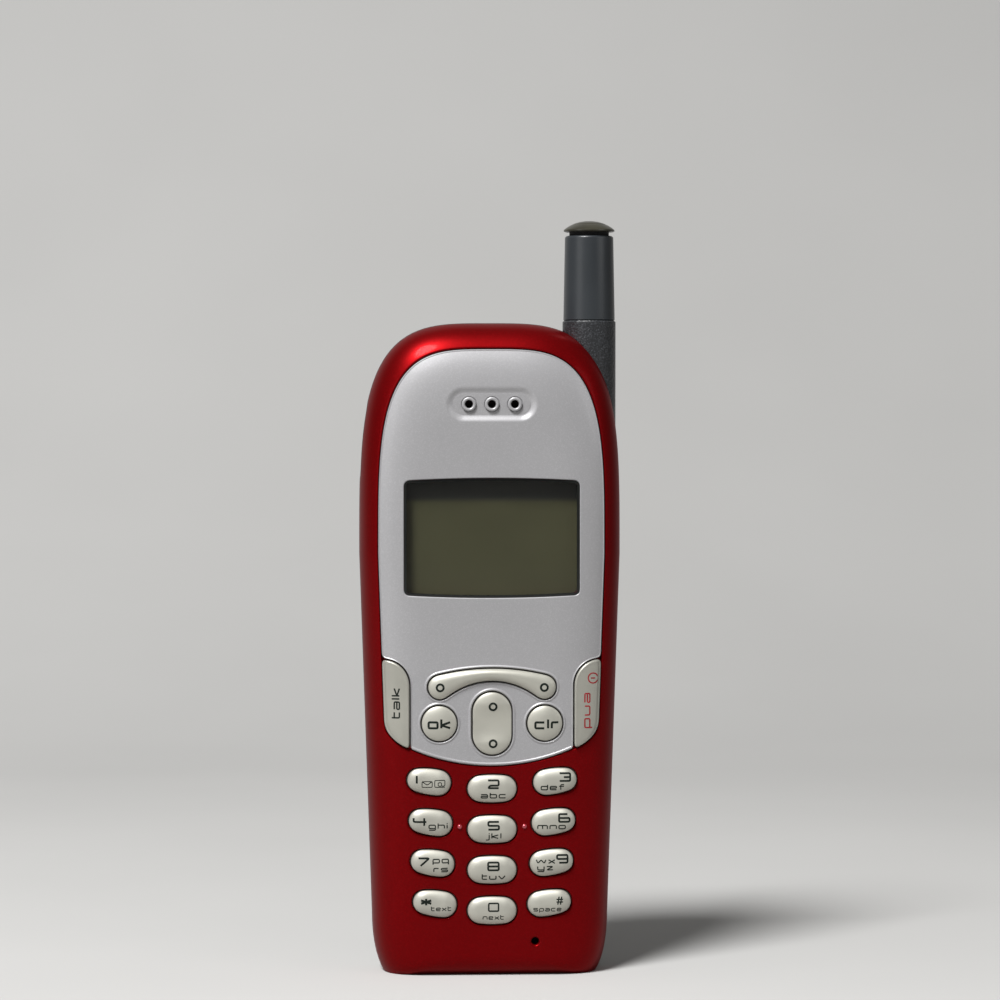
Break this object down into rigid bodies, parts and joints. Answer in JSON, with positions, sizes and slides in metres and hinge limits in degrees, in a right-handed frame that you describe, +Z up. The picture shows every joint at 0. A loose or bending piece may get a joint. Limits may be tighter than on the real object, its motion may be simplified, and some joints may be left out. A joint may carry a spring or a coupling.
{
  "type": "bar phone",
  "caption": "One-piece handheld phone with a keypad, a display window and a pull-out whip antenna on one corner.",
  "frame": {"origin": "middle of the flat base that the phone stands on, 1 mm behind the seam of the two shells", "axes": "+Z up along the phone, -Y out of the keypad face, +X to the antenna's side"},
  "size_m": [0.05, 0.025, 0.144],
  "materials": {
    "red_shell": "metallic candy red lacquer",
    "silver_fascia": "pearl silver paint",
    "lens": "clear acrylic",
    "foam": "closed-cell foam",
    "white_plastic": "moulded",
    "display": "grey-olive liquid crystal",
    "steel_parts": "plated",
    "brass_parts": "gold plated",
    "black_rubber": "moulded",
    "charcoal_rubber": "moulded",
    "silicone": "silicone",
    "board": "solder resist",
    "black_plastic": "moulded",
    "charcoal_shell": "fine spark texture",
    "antenna_plastic": "satin",
    "cap_plastic": "worn gloss",
    "cell": "sleeved",
    "key_silver": "satin warm silver paint"
  },
  "bodies": {
    "casing": {"front_cover": "red_shell", "fascia": "silver_fascia", "window_lens": "lens", "lens_gasket": "foam", "lcd_frame": "white_plastic", "lcd_glass": "display", "light_guide": "white_plastic", "earpiece_speaker": "steel_parts", "earpiece_gasket": "foam", "microphone": "steel_parts", "mic_boot": "black_rubber", "keypad_mat": "silicone", "dome_sheet": "steel_parts", "main_board": "board", "rf_shield": "steel_parts", "logic_shield": "steel_parts", "ringer": "black_plastic", "vibration_motor": "steel_parts", "headset_jack": "black_plastic", "system_connector": "black_plastic", "rear_housing": "charcoal_shell", "antenna_ferrule": "steel_parts", "antenna_sleeve": "antenna_plastic", "antenna_coil": "brass_parts", "antenna_clip": "brass_parts", "battery_contacts": "brass_parts", "latch_spring": "steel_parts", "screws": "steel_parts"},
    "antenna": {"antenna_whip": "steel_parts", "antenna_cap": "cap_plastic", "whip_stop": "brass_parts"},
    "battery_pack": {"battery_shell": "charcoal_shell", "battery_plate": "black_plastic", "pack_contacts": "brass_parts", "battery_cell": "cell"},
    "latch": {"battery_latch": "charcoal_shell"},
    "jack_flap": {"jack_cover": "charcoal_rubber"},
    "motor_rotor": {"motor_weight": "brass_parts"},
    "nav_rocker": {"nav_key": "key_silver"},
    "soft_rocker": {"soft_key_bar": "key_silver"},
    "key_1_body": {"key_1": "key_silver"},
    "key_2_body": {"key_2": "key_silver"},
    "key_3_body": {"key_3": "key_silver"},
    "key_4_body": {"key_4": "key_silver"},
    "key_5_body": {"key_5": "key_silver"},
    "key_6_body": {"key_6": "key_silver"},
    "key_7_body": {"key_7": "key_silver"},
    "key_8_body": {"key_8": "key_silver"},
    "key_9_body": {"key_9": "key_silver"},
    "key_star_body": {"key_star": "key_silver"},
    "key_0_body": {"key_0": "key_silver"},
    "key_hash_body": {"key_hash": "key_silver"},
    "talk_key_body": {"talk_key": "key_silver"},
    "end_key_body": {"end_key": "key_silver"},
    "ok_key_body": {"ok_key": "key_silver"},
    "clear_key_body": {"clear_key": "key_silver"}
  },
  "joints": [
    {"name": "antenna_slide", "type": "slide", "parent": "casing", "child": "antenna", "axis": [0, 0, 1], "range_m": [0, 0.086]},
    {"name": "battery_release", "type": "slide", "parent": "casing", "child": "battery_pack", "axis": [0, 1, 0], "range_m": [0, 0.02]},
    {"name": "latch_slide", "type": "slide", "parent": "casing", "child": "latch", "axis": [0, 0, 1], "range_m": [0, 0.0015], "stiffness_N_per_m": 800, "deforming": ["latch_spring"]},
    {"name": "jack_cover_hinge", "type": "hinge", "parent": "casing", "child": "jack_flap", "pos_m": [-0.0247, -0.001, 0.09375], "axis": [0, -1, 0], "range_deg": [0, 110]},
    {"name": "motor_spin", "type": "hinge", "parent": "casing", "child": "motor_rotor", "pos_m": [-0.009, -0.00355, 0.0122], "axis": [1, 0, 0], "continuous": true},
    {"name": "nav_rock", "type": "hinge", "parent": "casing", "child": "nav_rocker", "pos_m": [0, -0.00935, 0.0481], "axis": [1, 0, 0], "range_deg": [-3, 3], "stiffness_Nm_per_rad": 0.08},
    {"name": "soft_rock", "type": "hinge", "parent": "casing", "child": "soft_rocker", "pos_m": [0, -0.00935, 0.0555], "axis": [0, 0, 1], "range_deg": [-2, 2], "stiffness_Nm_per_rad": 0.15},
    {"name": "key_1_press", "type": "slide", "parent": "casing", "child": "key_1_body", "axis": [0, 1, 0], "range_m": [0, 0.0004], "stiffness_N_per_m": 1500},
    {"name": "key_2_press", "type": "slide", "parent": "casing", "child": "key_2_body", "axis": [0, 1, 0], "range_m": [0, 0.0004], "stiffness_N_per_m": 1500},
    {"name": "key_3_press", "type": "slide", "parent": "casing", "child": "key_3_body", "axis": [0, 1, 0], "range_m": [0, 0.0004], "stiffness_N_per_m": 1500},
    {"name": "key_4_press", "type": "slide", "parent": "casing", "child": "key_4_body", "axis": [0, 1, 0], "range_m": [0, 0.0004], "stiffness_N_per_m": 1500},
    {"name": "key_5_press", "type": "slide", "parent": "casing", "child": "key_5_body", "axis": [0, 1, 0], "range_m": [0, 0.0004], "stiffness_N_per_m": 1500},
    {"name": "key_6_press", "type": "slide", "parent": "casing", "child": "key_6_body", "axis": [0, 1, 0], "range_m": [0, 0.0004], "stiffness_N_per_m": 1500},
    {"name": "key_7_press", "type": "slide", "parent": "casing", "child": "key_7_body", "axis": [0, 1, 0], "range_m": [0, 0.0004], "stiffness_N_per_m": 1500},
    {"name": "key_8_press", "type": "slide", "parent": "casing", "child": "key_8_body", "axis": [0, 1, 0], "range_m": [0, 0.0004], "stiffness_N_per_m": 1500},
    {"name": "key_9_press", "type": "slide", "parent": "casing", "child": "key_9_body", "axis": [0, 1, 0], "range_m": [0, 0.0004], "stiffness_N_per_m": 1500},
    {"name": "key_star_press", "type": "slide", "parent": "casing", "child": "key_star_body", "axis": [0, 1, 0], "range_m": [0, 0.0004], "stiffness_N_per_m": 1500},
    {"name": "key_0_press", "type": "slide", "parent": "casing", "child": "key_0_body", "axis": [0, 1, 0], "range_m": [0, 0.0004], "stiffness_N_per_m": 1500},
    {"name": "key_hash_press", "type": "slide", "parent": "casing", "child": "key_hash_body", "axis": [0, 1, 0], "range_m": [0, 0.0004], "stiffness_N_per_m": 1500},
    {"name": "talk_key_press", "type": "slide", "parent": "casing", "child": "talk_key_body", "axis": [0, 1, 0], "range_m": [0, 0.0004], "stiffness_N_per_m": 1500},
    {"name": "end_key_press", "type": "slide", "parent": "casing", "child": "end_key_body", "axis": [0, 1, 0], "range_m": [0, 0.0004], "stiffness_N_per_m": 1500},
    {"name": "ok_key_press", "type": "slide", "parent": "casing", "child": "ok_key_body", "axis": [0, 1, 0], "range_m": [0, 0.0004], "stiffness_N_per_m": 1500},
    {"name": "clear_key_press", "type": "slide", "parent": "casing", "child": "clear_key_body", "axis": [0, 1, 0], "range_m": [0, 0.0004], "stiffness_N_per_m": 1500}
  ]
}
